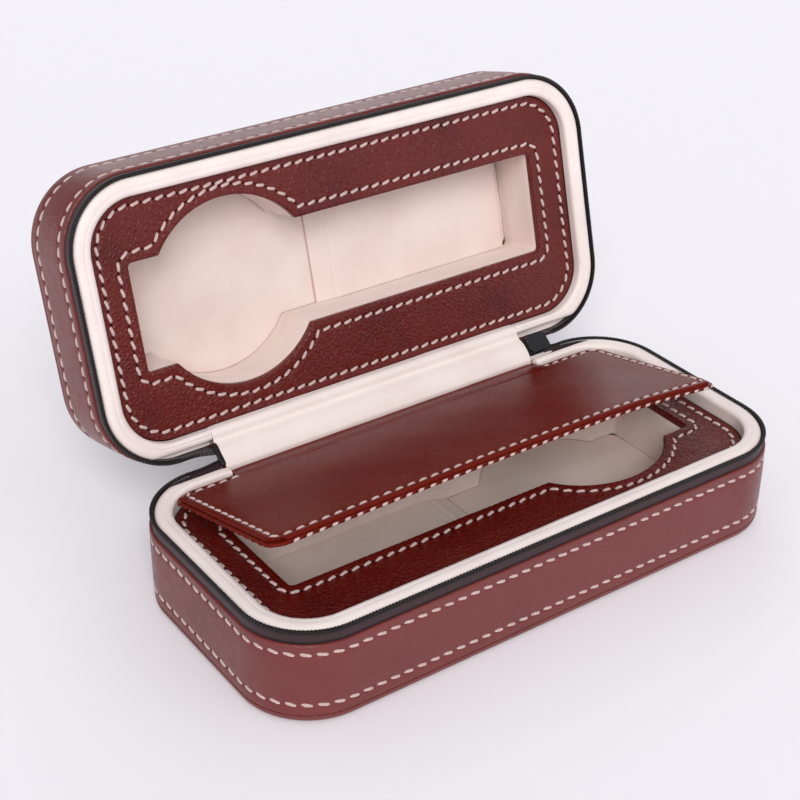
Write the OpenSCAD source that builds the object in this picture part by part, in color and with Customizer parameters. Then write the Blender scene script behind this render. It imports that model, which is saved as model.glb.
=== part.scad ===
// Zipped travel case for two wrist watches, shown with its lid standing open.
// X runs along the hinge, +Y points to the hinge side and Z up. The origin is
// the middle of the face that the base rests on.
//
// Both halves are built alike, in a frame whose Z is 0 at the rim and negative
// towards the outer panel, so "depth" is always measured down from the rim.

/* [Case] */
// Length of the case along the zip
case_len = 200; // [180:1:230]
// Width of the case along the zip
case_w = 93.6; // [90:0.2:110]
// Corner radius of the zip line, seen from above
corner_r = 23; // [19:0.5:28]
// Height of the base, from the table to its rim
base_h = 33.6; // [32:0.2:44]
// Depth of the lid, from its rim to its top panel
lid_h = 32; // [30:0.2:44]
// Angle that the lid stands open at
lid_open = 104.6; // [90:0.1:120]
// Height of the slit between the rims of the shut case
rim_gap = 0.4; // [0.3:0.05:0.8]

/* [Leather shell] */
// Thickness of the outer leather
leather_t = 0.95; // [0.8:0.05:1.1]
// Height of the leather-free zip band below each rim
zip_band = 5; // [4:0.1:6]
// Radius of the edge where the outer panel turns up
edge_r = 2.6; // [1.8:0.1:3]
// Height at which the turned-up panel meets the side band
seam_h = 3; // [3:0.1:5]

/* [Boards and core] */
// Thickness of the side board
side_board_t = 1.95; // [1.5:0.05:2.6]
// Thickness of the outer panel's board
floor_board_t = 1.95; // [1.5:0.05:2.4]
// Assembly slack between neighbouring layers
slack = 0.05; // [0.02:0.01:0.1]

/* [Lip] */
// Width of the padded lip inside the zip
lip_w = 5.5; // [5:0.1:6.5]
// Slack between the lip and the insert's edge
lip_gap = 0.3; // [0.2:0.05:0.5]

/* [Insert panel] */
// Depth of the insert below the rim in the base
base_drop = 5.6; // [4.5:0.1:7]
// Depth of the insert below the rim in the lid
lid_drop = 4; // [3.6:0.1:6]
// Thickness of the leather on the insert
insert_leather_t = 0.9; // [0.6:0.05:1.2]
// Thickness of the insert's board
insert_board_t = 1.55; // [1.2:0.05:2]

/* [Watch wells] */
// Diameter of the round well for the watch head
head_d = 62; // [54:1:66]
// Distance of the round well from the middle of the case
head_x = 44.7; // [40:0.1:50]
// Offset of the wells from the middle line
well_off = 1.3; // [0:0.1:2]
// Width of the straight well for the strap
strap_w = 36; // [28:1:40]
// Distance of the long strap end from the middle of the case
long_end = 78.6; // [74:0.1:82]
// Distance of the short strap end from the middle of the case
short_end = 80.8; // [77:0.1:83]
// Depth of the strap well below the insert's face
strap_depth = 18.5; // [14:0.1:19]
// Step from the strap well down to the head well
head_step = 2.5; // [1:0.1:3]
// Thickness of the velvet lining on the well wall
lining_t = 0.8; // [0.5:0.05:1.2]
// Thickness of the velvet covered floor card
card_t = 1.5; // [1:0.1:1.8]
// Length of the flat floor between the head well and the ramp
ramp_start = 8.3; // [4:0.1:12]
// Length of the ramp up to the strap pad
ramp_len = 7.2; // [4:0.1:10]
// Gap between the strap pad and the end of its well
pad_gap = 2.4; // [1:0.1:4]
// Slack round the strap pad and the floor card
pad_slack = 0.2; // [0.1:0.05:0.4]

/* [Zip] */
// Thickness of the zip tape
tape_t = 0.8; // [0.6:0.05:0.9]
// Length of tape tucked under the leather
tape_tuck = 1.9; // [1:0.1:2.5]
// Diameter of one row of zip coil
coil_d = 1.6; // [1.2:0.1:1.8]

/* [Hinge] */
// Distance of the fold line behind the zip line
hinge_back = 2.7; // [2.6:0.05:3]
// Distance of the fold line below the base's rim
hinge_drop = 0.6; // [0.4:0.05:0.8]
// Distance of the leather hinge's left end from the case's left end
hinge_left = 35; // [28:0.5:40]
// Distance of the leather hinge's right end from the case's right end
hinge_right = 39; // [39:0.5:44]
// Radius of the leather fold along the fold line
fold_r = 1.3; // [1:0.05:1.4]
// Width of the lining strip that bridges the open rims
bridge_w = 5.6; // [5:0.1:6]
// Thickness of the lining strip that bridges the open rims
bridge_t = 0.8; // [0.6:0.05:0.9]
// Running clearance round the fold
hinge_gap = 0.2; // [0.15:0.01:0.3]

/* [Zip ends] */
// Length of the sewn closed end of the zip, along the hinge
stop_len = 2.7; // [2:0.1:3.5]
// Width of the sewn closed end of the zip
stop_w = 8.2; // [7:0.1:9]
// Gap between the zip's closed end and the loose part of its tapes
stop_gap = 1; // [0.5:0.1:1.5]
// Width of both tapes beside the joined coil
joined_tape_w = 6; // [5:0.1:6.4]

/* [Slider] */
// Length of the slider
slider_len = 8.5; // [7:0.1:9.5]
// Width of the slider
slider_w = 6.6; // [6:0.1:7.4]
// Thickness of each slider plate
plate_t = 0.95; // [0.8:0.05:1.1]
// Clearance between the slider and the zip inside it
slider_gap = 0.3; // [0.25:0.01:0.4]
// Gap between the hinge end and the slider at rest
slider_start = 0.8; // [0.5:0.1:1.2]
// Width of the slider's side flanges
flange_w = 0.7; // [0.5:0.05:0.9]
// Distance of the slider's inner post from its open end
post_in = 1.9; // [1.8:0.1:2.4]
// Radius of the slider's inner post
post_r = 0.7; // [0.5:0.05:0.8]
// Width of the crown that holds the pull
crown_w = 1.1; // [1:0.05:1.2]
// Thickness of the crown's legs and bar
crown_t = 1; // [0.8:0.05:1.2]
// Length of the open space under the crown
crown_space = 4; // [3.6:0.1:4.6]

/* [Pull] */
// Length of the pull from its pin to its tip
pull_len = 23; // [16:0.5:24]
// Width of the pull
pull_w = 2.8; // [2.7:0.05:2.9]
// Thickness of the pull
pull_t = 1.2; // [1:0.05:1.4]
// Clearance between the pull and the crown
pull_gap = 0.3; // [0.25:0.01:0.35]
// Distance of the pull's pin outside the fold line
pin_out = 2.2; // [2.2:0.05:2.6]

/* [Flap] */
// Width of the flap along the hinge
flap_w = 174; // [160:1:180]
// Length of the flap from its fold to its front edge
flap_len = 67.7; // [55:0.1:70]
// Thickness of each leather of the flap
flap_leather_t = 0.9; // [0.7:0.05:1.1]
// Thickness of the flap's board
flap_board_t = 1.2; // [0.8:0.05:1.5]
// Radius of the flap's front corners
flap_corner_r = 6; // [4:0.5:9]
// Radius of the flap's back corners
flap_back_r = 6.5; // [6.5:0.1:9]
// Distance from the flap's fold to the back edge of its panel
flap_setback = 2.9; // [2.7:0.1:3.2]
// Step between the edges of the flap's backing and its cover
flap_step = 1.5; // [0:0.1:2]
// Distance of the flap's fold in front of the zip line
flap_fold_in = 4.8; // [4.8:0.05:5]
// Height of the flap's fold above the base's insert
flap_fold_up = 2.2; // [2:0.05:2.4]
// Radius of the bead along the flap's fold
bead_r = 1.2; // [0.9:0.05:1.2]
// Distance that the flap's board stays back from its edges
flap_margin = 3; // [2.4:0.1:3.5]
// Length of hinge strip glued between the flap's leathers
strip_lap = 5; // [3:0.1:8]
// Distance of the hinge strip's ends from the ends of the leather hinge
strip_in = 2; // [1:0.1:4]
// Angle that the flap stands open at
flap_open = 11.4; // [8:0.1:18]

/* [Hidden] */
$fn = 96;
cut = 0.5;                                   // how far a cutting solid runs past a face

rim_z = base_h;
half_gap = rim_gap/2;
fold = [0, case_w/2 + hinge_back, rim_z - hinge_drop];

// Offsets from the zip line: positive outwards
leather_out = slack + leather_t;
board_out = -slack;
board_in = board_out - side_board_t;
tucked_in = -tape_t - slack;                 // board face behind the tucked tape
core_out = board_in - slack;
lip_out = -tape_t - 3*slack;
lip_in = lip_out - lip_w;
insert_out = lip_in - lip_gap;
floor_board_out = leather_out - edge_r - slack;

// Depths below the rim
tape_low = zip_band + tape_tuck;
insert_t = insert_leather_t + insert_board_t;
well_depth = strap_depth + head_step;
floor_top = leather_t + slack + floor_board_t; // height of the inner floor above the outer face
coil_r = coil_d/2;
coil_u = coil_r - tape_t;                    // flush with the tape's inner face
coil_z = -half_gap - coil_r;

// Bridge frame: its Y is measured from the fold line, positive to the outside
bridge_out = hinge_back + slack;
bridge_in = bridge_out + bridge_t;
bridge_mid = (bridge_in + bridge_out)/2;
bridge_r = norm([bridge_in, bridge_w/2]);
stop_r = norm([bridge_in, stop_w/2]);
channel_half = coil_r + slider_gap;
slider_in = bridge_mid + channel_half + plate_t;
slider_out = bridge_mid - channel_half - plate_t;
slider_r = norm([slider_in, slider_w/2]);
hinge_x0 = hinge_left - case_len/2;
hinge_x1 = case_len/2 - hinge_right;
slider_x = hinge_x1 + slider_start + slider_len/2;
joined_len = slider_start + slider_len - post_in - 2*post_r - slider_gap;
bridge_half = (bridge_in - bridge_out)/2;
crown_inner = pin_out + pull_t/2 + pull_gap;

flap_fold = [0, case_w/2 - flap_fold_in, rim_z - base_drop + flap_fold_up];
flap_t = 2*flap_leather_t + flap_board_t;
strip_len = hinge_x1 - hinge_x0 - 2*strip_in;

// ---------------------------------------------------------------- outlines

// The zip line grown by u, as a flat shape with true round corners
module outline(u) {
    l = case_len + 2*u;
    w = case_w + 2*u;
    r = corner_r + u;
    square([l - 2*r, w], center = true);
    square([l, w - 2*r], center = true);
    for (sx = [-1, 1])
        for (sy = [-1, 1])
            translate([sx*(l/2 - r), sy*(w/2 - r)]) circle(r);
}

module slab(u, z0, z1) {
    translate([0, 0, z0]) linear_extrude(z1 - z0) outline(u);
}

module band(u_out, u_in, z0, z1) {
    translate([0, 0, z0]) linear_extrude(z1 - z0)
        difference() {
            outline(u_out);
            outline(u_in);
        }
}

// The watch opening: a strap slot with a round head well, grown by u.
// dir is +1 where the head lies to the right and -1 where it lies to the left.
module keyhole(u, dir) {
    low = dir > 0 ? -long_end : -short_end;
    high = dir > 0 ? short_end : long_end;
    translate([0, dir*well_off]) {
        translate([low - u, -strap_w/2 - u]) square([high - low + 2*u, strap_w + 2*u]);
        translate([dir*head_x, 0]) circle(head_d/2 + u);
    }
}

module keyhole_cut(u, dir, z0, z1) {
    translate([0, 0, z0]) linear_extrude(z1 - z0) keyhole(u, dir);
}

// Sweeps a profile (offset from the zip line, height) along a straight back stretch
module back_run(x0, x1) {
    translate([x0, case_w/2, 0]) rotate([90, 0, 90]) linear_extrude(x1 - x0) children();
}

// Sweeps a profile round the three sides away from the hinge
module three_sides() {
    a = case_len/2 - corner_r;
    b = case_w/2 - corner_r;
    for (left = [0, 1])
        for (front = [0, 1])
            mirror([left, 0, 0]) mirror([0, front, 0]) translate([a, b, 0])
                rotate_extrude(angle = 90) translate([corner_r, 0]) children();
    rotate(180) translate([-a, case_w/2, 0]) rotate([90, 0, 90]) linear_extrude(2*a) children();
    for (s = [-90, 90])
        rotate(s) translate([-b, case_len/2, 0]) rotate([90, 0, 90])
            linear_extrude(2*b) children();
}

module full_ring() {
    three_sides() children();
    back_run(corner_r - case_len/2, case_len/2 - corner_r) children();
}

// The zip itself starts past the hinge: it leaves the slider's way free on the right
module zip_ring() {
    three_sides() children();
    back_run(corner_r - case_len/2, hinge_x0 - stop_len - stop_gap) children();
}

// ------------------------------------------------------------- half shells

// Outer panel whose edge turns up to meet the side band; z is measured from its face
module panel_skin(h) {
    straight = leather_out - edge_r;
    translate([0, 0, -h]) {
        slab(straight - edge_r, 0, leather_t);
        full_ring()
            difference() {
                panel_edge(leather_out, edge_r, 0, seam_h);
                panel_edge(slack, edge_r - leather_t, leather_t, seam_h + cut);
            }
    }
}

module panel_edge(u_out, r, z0, z1) {
    inner = leather_out - 2*edge_r - slack;
    translate([inner, z0]) square([u_out - r - inner, z1 - z0]);
    translate([inner, edge_r]) square([u_out - inner, z1 - edge_r]);
    intersection() {
        translate([u_out - r, edge_r]) circle(r);
        translate([inner, z0]) square([u_out - inner, edge_r - z0 + slack]);
    }
}

module side_skin(h) {
    band(leather_out, slack, seam_h - h, -zip_band);
}

// Stepped side board: thinner at the top, where the zip tape is tucked in front of it
module side_board(h, drop) {
    band(board_out, board_in, floor_top + slack - h, -tape_low - slack);
    band(tucked_in, board_in, -tape_low - slack, -drop - slack);
}

module floor_board(h) {
    slab(floor_board_out, leather_t + slack - h, floor_top - h);
}

module foam_core(h, drop, dir) {
    difference() {
        slab(core_out, floor_top + slack - h, -drop - slack);
        slab(insert_out + slack, -drop - insert_t - slack, cut);
        keyhole_cut(lining_t + slack, dir, -drop - well_depth - card_t, cut);
    }
}

module insert_board(drop, dir) {
    difference() {
        slab(insert_out - insert_leather_t - slack, -drop - insert_t, -drop - insert_leather_t);
        keyhole_cut(insert_leather_t + slack, dir, -drop - insert_t - cut, cut);
    }
}

// Leather over the insert board, turned down round the rim and inside the watch opening
module insert_leather(drop, dir) {
    difference() {
        slab(insert_out, -drop - insert_t, -drop);
        keyhole_cut(0, dir, -drop - insert_t - cut, cut);
        difference() {
            slab(insert_out - insert_leather_t, -drop - insert_t - cut, -drop - insert_leather_t);
            keyhole_cut(insert_leather_t, dir, -drop - insert_t - 2*cut, cut);
        }
    }
}

module well_lining(drop, dir) {
    difference() {
        keyhole_cut(lining_t, dir, -drop - well_depth - card_t + slack, -drop - insert_t - slack);
        keyhole_cut(0, dir, -drop - well_depth - card_t - cut, cut);
    }
}

module floor_card(drop, dir) {
    keyhole_cut(-pad_slack, dir, -drop - well_depth - card_t + slack, -drop - well_depth);
}

// Raised pad under the strap, with a ramp towards the head well
module strap_pad(drop, dir) {
    foot = head_x - head_d/2 - ramp_start;
    translate([0, dir*well_off, -drop - well_depth]) mirror([dir > 0 ? 0 : 1, 0, 0])
        rotate([90, 0, 0]) linear_extrude(strap_w - 2*pad_slack, center = true)
            polygon([[pad_gap - long_end, 0], [foot, 0],
                     [foot - ramp_len, head_step], [pad_gap - long_end, head_step]]);
}

// Two soft rolls side by side, with the crease between them
module lip_profile(drop) {
    r = lip_w/4;
    translate([lip_in, -drop]) square([lip_w, drop - half_gap - r]);
    for (x = [r, lip_w - r])
        translate([lip_in + x, -half_gap - r]) circle(r);
}

module coil_profile() {
    translate([coil_u, coil_z]) circle(coil_r);
}

module tape_profile() {
    difference() {
        translate([-tape_t, -tape_low]) square([tape_t, tape_low + coil_z]);
        translate([coil_u, coil_z]) circle(coil_r + slack);
    }
}

// Room behind the lip for what turns round the fold line within the radius r
module fold_room(r, x0, x1) {
    translate([x0, case_w/2 + hinge_back - r - hinge_gap, -base_h])
        cube([x1 - x0, r + hinge_gap, 2*base_h]);
}

// The lip stays clear of the bridge, and beside it of the zip's end and the slider
module rim_room() {
    fold_room(bridge_r, hinge_x0 - hinge_gap, hinge_x1 + hinge_gap);
    fold_room(stop_r, -case_len/2, hinge_x0 + hinge_gap);
    fold_room(slider_r, hinge_x1, case_len/2);
}

// Padded lip round the rim, left out along the leather hinge
module lip(drop) {
    difference() {
        full_ring() lip_profile(drop);
        translate([hinge_x0, 0, -drop - cut])
            cube([hinge_x1 - hinge_x0, case_w, drop + 2*cut]);
        rim_room();
    }
}

// Half of the leather spine, flat against the fold, in the rim frame of the base
module spine_plate(z0) {
    back_run(hinge_x0, hinge_x1)
        translate([slack, -zip_band]) square([leather_t, zip_band + z0]);
}

// ---------------------------------------------------------------- placing

module in_base() {
    translate([0, 0, rim_z]) children();
}

// Turns a child built in the shut case about the fold line
module turned(angle) {
    translate(fold) rotate([-angle, 0, 0]) translate(-fold) children();
}

module in_lid() {
    turned(lid_open) translate([0, 0, rim_z]) mirror([0, 0, 1]) children();
}

// The bridge, the zip's ends and the slider stand halfway between base and lid;
// inside, Y and Z are measured from the fold line
module on_bridge() {
    turned(lid_open/2) translate(fold) children();
}

module in_flap() {
    translate(flap_fold) rotate([-flap_open, 0, 0]) children();
}

// ------------------------------------------------------------------- base

module base_bottom_leather() { color([0.40, 0.17, 0.16]) in_base() panel_skin(base_h); }
module base_side_leather() { color([0.45, 0.20, 0.19]) in_base() side_skin(base_h); }
module base_side_board() { color([0.62, 0.58, 0.52]) in_base() side_board(base_h, base_drop); }
module base_floor_board() { color([0.66, 0.61, 0.55]) in_base() floor_board(base_h); }
module base_foam_core() { color([0.85, 0.83, 0.80]) in_base() foam_core(base_h, base_drop, 1); }
module base_insert_board() { color([0.60, 0.55, 0.50]) in_base() insert_board(base_drop, 1); }
module base_insert_leather() { color([0.30, 0.06, 0.05]) in_base() insert_leather(base_drop, 1); }
module base_well_lining() { color([0.92, 0.87, 0.84]) in_base() well_lining(base_drop, 1); }
module base_floor_card() { color([0.90, 0.84, 0.81]) in_base() floor_card(base_drop, 1); }
module base_strap_pad() { color([0.93, 0.88, 0.85]) in_base() strap_pad(base_drop, 1); }
module base_lip() { color([0.95, 0.91, 0.89]) in_base() lip(base_drop); }
module base_zip_tape() { color([0.12, 0.11, 0.12]) in_base() zip_ring() tape_profile(); }
module base_zip_coil() { color([0.20, 0.18, 0.19]) in_base() zip_ring() coil_profile(); }

// Back leather up to the fold line, ending in the round fold itself
module base_spine() {
    color([0.38, 0.16, 0.15]) in_base() {
        spine_plate(-hinge_drop);
        back_run(hinge_x0, hinge_x1) {
            translate([hinge_back, -hinge_drop]) circle(fold_r);
            translate([leather_t, -hinge_drop - fold_r]) square([hinge_back - leather_t, fold_r]);
        }
    }
}

// Ivory wall between the flap's fold and the bridge
module base_hinge_lining() {
    front = bead_r + hinge_gap - flap_fold_in;
    color([0.95, 0.91, 0.89]) in_base()
        difference() {
            back_run(hinge_x0, hinge_x1)
                translate([front, -base_drop])
                    square([tucked_in - slack - front, base_drop - half_gap]);
            rim_room();
        }
}

// -------------------------------------------------------------------- lid

module lid_top_leather() { color([0.40, 0.17, 0.16]) in_lid() panel_skin(lid_h); }
module lid_side_leather() { color([0.45, 0.20, 0.19]) in_lid() side_skin(lid_h); }
module lid_side_board() { color([0.62, 0.58, 0.52]) in_lid() side_board(lid_h, lid_drop); }
module lid_floor_board() { color([0.66, 0.61, 0.55]) in_lid() floor_board(lid_h); }
module lid_foam_core() { color([0.85, 0.83, 0.80]) in_lid() foam_core(lid_h, lid_drop, -1); }
module lid_insert_board() { color([0.60, 0.55, 0.50]) in_lid() insert_board(lid_drop, -1); }
module lid_insert_leather() { color([0.42, 0.18, 0.17]) in_lid() insert_leather(lid_drop, -1); }
module lid_well_lining() { color([0.94, 0.89, 0.86]) in_lid() well_lining(lid_drop, -1); }
module lid_floor_card() { color([0.93, 0.87, 0.84]) in_lid() floor_card(lid_drop, -1); }
module lid_strap_pad() { color([0.94, 0.89, 0.86]) in_lid() strap_pad(lid_drop, -1); }

module lid_lip() { color([0.95, 0.91, 0.89]) in_lid() lip(lid_drop); }
module lid_zip_tape() { color([0.12, 0.11, 0.12]) in_lid() zip_ring() tape_profile(); }
module lid_zip_coil() { color([0.20, 0.18, 0.19]) in_lid() zip_ring() coil_profile(); }
module lid_spine() { color([0.38, 0.16, 0.15]) in_lid() spine_plate(hinge_drop - hinge_gap); }

// Ivory wall between the lid's insert and the bridge
module lid_hinge_lining() {
    color([0.95, 0.91, 0.89]) in_lid()
        difference() {
            back_run(hinge_x0, hinge_x1) lip_profile(lid_drop);
            rim_room();
        }
}

// ----------------------------------------------------------- hinge bridge

module hinge_bridge() {
    color([0.96, 0.93, 0.91]) on_bridge()
        translate([hinge_x0 + hinge_gap, -bridge_in, -bridge_w/2])
            cube([hinge_x1 - hinge_x0 - 2*hinge_gap, bridge_in - bridge_out, bridge_w]);
}

// Both tapes folded over and sewn together at the closed end of the zip
module zip_closed_end() {
    color([0.10, 0.09, 0.10]) on_bridge()
        translate([hinge_x0 - stop_len, -bridge_in, -stop_w/2])
            cube([stop_len, bridge_in - bridge_out, stop_w]);
}

// Two tapes meeting at the joined coil, up to the post inside the slider
module zip_joined_tape() {
    color([0.12, 0.11, 0.12]) on_bridge()
        translate([hinge_x1, -bridge_mid, 0]) rotate([90, 0, 90]) linear_extrude(joined_len)
            for (s = [-1, 1])
                difference() {
                    translate([-bridge_half, s > 0 ? coil_r : -joined_tape_w/2])
                        square([2*bridge_half, joined_tape_w/2 - coil_r]);
                    translate([0, s*coil_r]) circle(coil_r);
                }
}

module zip_joined_coil() {
    color([0.20, 0.18, 0.19]) on_bridge()
        translate([hinge_x1, -bridge_mid, 0]) rotate([90, 0, 90])
            linear_extrude(slider_start + slider_len/2) {
                for (s = [-1, 1])
                    translate([0, s*coil_r]) circle(coil_r);
                square([coil_d, coil_d], center = true);
            }
}

// ----------------------------------------------------------------- slider

// A plate with round corners in the X-Z plane, y0 to y1
module slider_plate(y0, y1) {
    r = slider_w/4;
    translate([0, y1, 0]) rotate([90, 0, 0]) linear_extrude(y1 - y0) {
        square([slider_len - 2*r, slider_w], center = true);
        square([slider_len, slider_w - 2*r], center = true);
        for (sx = [-1, 1])
            for (sz = [-1, 1])
                translate([sx*(slider_len/2 - r), sz*(slider_w/2 - r)]) circle(r);
    }
}

module slider_flanges(y0, y1) {
    r = slider_w/4;
    for (s = [-1, 1])
        translate([r - slider_len/2, y0, s > 0 ? slider_w/2 - flange_w : -slider_w/2])
            cube([slider_len - 2*r, y1 - y0, flange_w]);
}

module slider_body() {
    tape_half = bridge_half + slider_gap;
    post_x = slider_len/2 - post_in - post_r;
    color([0.30, 0.29, 0.30]) on_bridge() translate([slider_x, 0, 0]) {
        slider_plate(-slider_in, -slider_in + plate_t);
        slider_plate(-slider_out - plate_t, -slider_out);
        slider_flanges(-slider_in + plate_t, -bridge_mid - tape_half);
        slider_flanges(-bridge_mid + tape_half, -slider_out - plate_t);
        translate([post_x, -slider_in + plate_t/2, 0]) rotate([-90, 0, 0])
            linear_extrude(slider_in - slider_out - plate_t) {
                circle(post_r);
                polygon([[0, -post_r], [post_in + post_r, -1.5*post_r],
                         [post_in + post_r, 1.5*post_r], [0, post_r]]);
            }
        crown();
    }
}

// Arch over the pull's pin: two legs and a bar with round ends
module crown() {
    reach = crown_space/2 + crown_t;
    for (s = [-1, 1])
        translate([s > 0 ? crown_space/2 : -reach, -slider_out - plate_t/2, -crown_w/2])
            cube([crown_t, crown_inner + slider_out + plate_t/2, crown_w]);
    translate([-reach + crown_t/2, crown_inner, -crown_w/2])
        cube([2*reach - crown_t, crown_t, crown_w]);
    for (s = [-1, 1])
        translate([s*(reach - crown_t/2), crown_inner + crown_t/2, -crown_w/2])
            cylinder(r = crown_t/2, h = crown_w);
}

// ------------------------------------------------------------------- pull

module pull_tab() {
    arm_t = pull_w/2 - crown_w/2 - pull_gap + slack;
    window = crown_space/2 + crown_t + 2*pull_gap;
    color([0.34, 0.33, 0.34]) on_bridge() translate([slider_x, pin_out, 0]) {
        translate([0, 0, -pull_w/2]) cylinder(r = pull_t/2, h = pull_w);
        for (s = [-1, 1])
            translate([-pull_t/2, 0, s > 0 ? pull_w/2 - arm_t : -pull_w/2])
                cube([pull_t, window, arm_t]);
        translate([-pull_t/2, window, -pull_w/2])
            cube([pull_t, pull_len - window - pull_w/2, pull_w]);
        translate([-pull_t/2, pull_len - pull_w/2, 0]) rotate([0, 90, 0])
            cylinder(r = pull_w/2, h = pull_t);
    }
}

// ------------------------------------------------------------------- flap

// The flap's outline shrunk by inset, lying flat; Y runs from the fold to the front
module flap_outline(inset) {
    half = flap_w/2 - inset;
    front = inset - flap_len;
    back = -flap_setback - inset;
    rf = flap_corner_r - inset;
    rb = max(flap_back_r - inset, 0.2);
    translate([-half, front + rf]) square([2*half, back - front - rf - rb]);
    translate([rf - half, front]) square([2*(half - rf), rf]);
    translate([rb - half, back - rb]) square([2*(half - rb), rb]);
    for (s = [-1, 1]) {
        translate([s*(half - rf), front + rf]) circle(rf);
        translate([s*(half - rb), back - rb]) circle(rb);
    }
}

module strip_notch(grow) {
    translate([hinge_x0 + strip_in - grow, -flap_setback - strip_lap - grow])
        square([strip_len + 2*grow, strip_lap + flap_setback + grow]);
}

module flap_cover() {
    color([0.42, 0.17, 0.15]) in_flap()
        translate([0, 0, flap_board_t/2]) linear_extrude(flap_leather_t) flap_outline(flap_step);
}

module flap_backing() {
    color([0.40, 0.16, 0.14]) in_flap()
        translate([0, 0, -flap_t/2]) linear_extrude(flap_leather_t) flap_outline(0);
}

module flap_board() {
    color([0.62, 0.57, 0.51]) in_flap()
        translate([0, 0, slack - flap_board_t/2]) linear_extrude(flap_board_t - 2*slack)
            difference() {
                flap_outline(flap_margin);
                strip_notch(slack);
            }
}

// Leather strip between the flap's layers, ending in the bead that it folds about
module flap_hinge_strip() {
    color([0.36, 0.14, 0.13]) in_flap() {
        translate([0, 0, slack - flap_board_t/2]) linear_extrude(flap_board_t - 2*slack)
            strip_notch(0);
        translate([hinge_x0 + strip_in, 0, 0]) rotate([0, 90, 0])
            cylinder(r = bead_r, h = strip_len);
    }
}

base_bottom_leather();
base_side_leather();
base_side_board();
base_floor_board();
base_foam_core();
base_insert_board();
base_insert_leather();
base_well_lining();
base_floor_card();
base_strap_pad();
base_lip();
base_zip_tape();
base_zip_coil();
base_spine();
base_hinge_lining();
lid_top_leather();
lid_side_leather();
lid_side_board();
lid_floor_board();
lid_foam_core();
lid_insert_board();
lid_insert_leather();
lid_well_lining();
lid_floor_card();
lid_strap_pad();
lid_lip();
lid_zip_tape();
lid_zip_coil();
lid_spine();
lid_hinge_lining();
hinge_bridge();
zip_closed_end();
zip_joined_tape();
zip_joined_coil();
slider_body();
pull_tab();
flap_cover();
flap_board();
flap_backing();
flap_hinge_strip();
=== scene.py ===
"""Zip-round travel case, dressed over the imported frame.

Lengths are in millimetres until a mesh is made. Both halves are built in a rim frame, whose
Z is 0 at the rim and negative towards the outer panel, and then placed as the base or the lid.
Offsets are measured outwards from the zip line, a rectangle with round corners.
"""
import math

import bmesh
import bpy
import numpy as np
from mathutils import Euler, Matrix, Vector
from mathutils.geometry import delaunay_2d_cdt

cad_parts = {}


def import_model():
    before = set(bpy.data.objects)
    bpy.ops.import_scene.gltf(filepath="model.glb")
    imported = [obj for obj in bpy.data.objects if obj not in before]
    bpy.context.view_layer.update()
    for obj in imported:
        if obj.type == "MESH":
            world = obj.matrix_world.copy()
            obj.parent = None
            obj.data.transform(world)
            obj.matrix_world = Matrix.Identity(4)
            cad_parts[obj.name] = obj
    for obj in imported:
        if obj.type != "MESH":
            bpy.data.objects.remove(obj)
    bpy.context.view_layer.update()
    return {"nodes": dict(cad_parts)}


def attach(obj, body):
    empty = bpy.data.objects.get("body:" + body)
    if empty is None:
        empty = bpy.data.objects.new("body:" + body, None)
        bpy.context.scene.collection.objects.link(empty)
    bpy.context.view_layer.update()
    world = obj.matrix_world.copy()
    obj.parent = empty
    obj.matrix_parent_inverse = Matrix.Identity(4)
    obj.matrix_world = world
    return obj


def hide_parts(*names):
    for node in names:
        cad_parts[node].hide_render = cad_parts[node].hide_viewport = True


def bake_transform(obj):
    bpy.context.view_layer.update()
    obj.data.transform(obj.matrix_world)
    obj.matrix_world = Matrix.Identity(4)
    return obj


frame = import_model()

MM = 0.001
UP = [0.0, 0.0, 1.0]

# ---------------- sizes of the frame
CASE_L, CASE_W, CORNER = 200.0, 93.6, 23.0  # the zip line and its corner radius
BASE_H, LID_H = 33.6, 32.0  # depth of each half
LID_OPEN = 104.6  # degrees that the lid stands open
FOLD_Y, FOLD_Z = 49.5, 33.0  # the line that the lid turns about
HINGE_X0, HINGE_X1 = -65.0, 61.0  # ends of the hinge
BASE_DROP, LID_DROP = 5.6, 4.0  # depth of the inserts below the rim
LEATHER_T, PANEL_T = 0.95, 2.45  # outer leather, insert with its board
ZIP_BAND, EDGE_R, SEAM_H = 5.0, 2.6, 3.0  # bare zip, rolled edge, seam of the panel
LEATHER_OUT, LIP_OUT = 1.0, -0.95  # offsets of the side leather and the lip
LIP_IN, INSERT_OUT = -6.69, -6.75  # offsets of the lip's inside, the insert
SLIDER_ROOM, STOP_ROOM = 43.1, 43.8  # Y where the lip stops at the zip's ends
HEAD_R, HEAD_X, WELL_OFF = 31.0, 44.7, 1.3  # the well's round part
STRAP_HALF, SLOT_R = 18.0, 1.5  # the well's slot
LONG_END, SHORT_END = 78.6, 80.8  # ends of the slot
STRAP_DEPTH, HEAD_STEP, CARD_T = 18.5, 2.5, 1.5  # depth, step to the head's floor, card
RAMP_START, RAMP_LEN, PAD_GAP = 8.3, 7.2, 2.4  # strap cushion: foot, ramp and far end
TAPE_T, COIL_Z, TAPE_W = 0.8, -0.85, 5.0  # the zip
BRIDGE_MID = 3.15  # joined zip to the fold line
STOP_LEN, STOP_W = 2.7, 8.2  # bar at the zip's closed end
SLIDER_X, SLIDER_LEN, JOINED_LEN = 66.05, 8.5, 8.0
FLAP_W, FLAP_LEN, FLAP_BACK, FLAP_R = 174.0, 67.7, 2.9, 6.0
FLAP_FOLD_Y, FLAP_FOLD_Z = 42.0, 30.2
FLAP_FACE, FLAP_STEP = 1.5, 1.5  # cover above the middle, inside the edge

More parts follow.
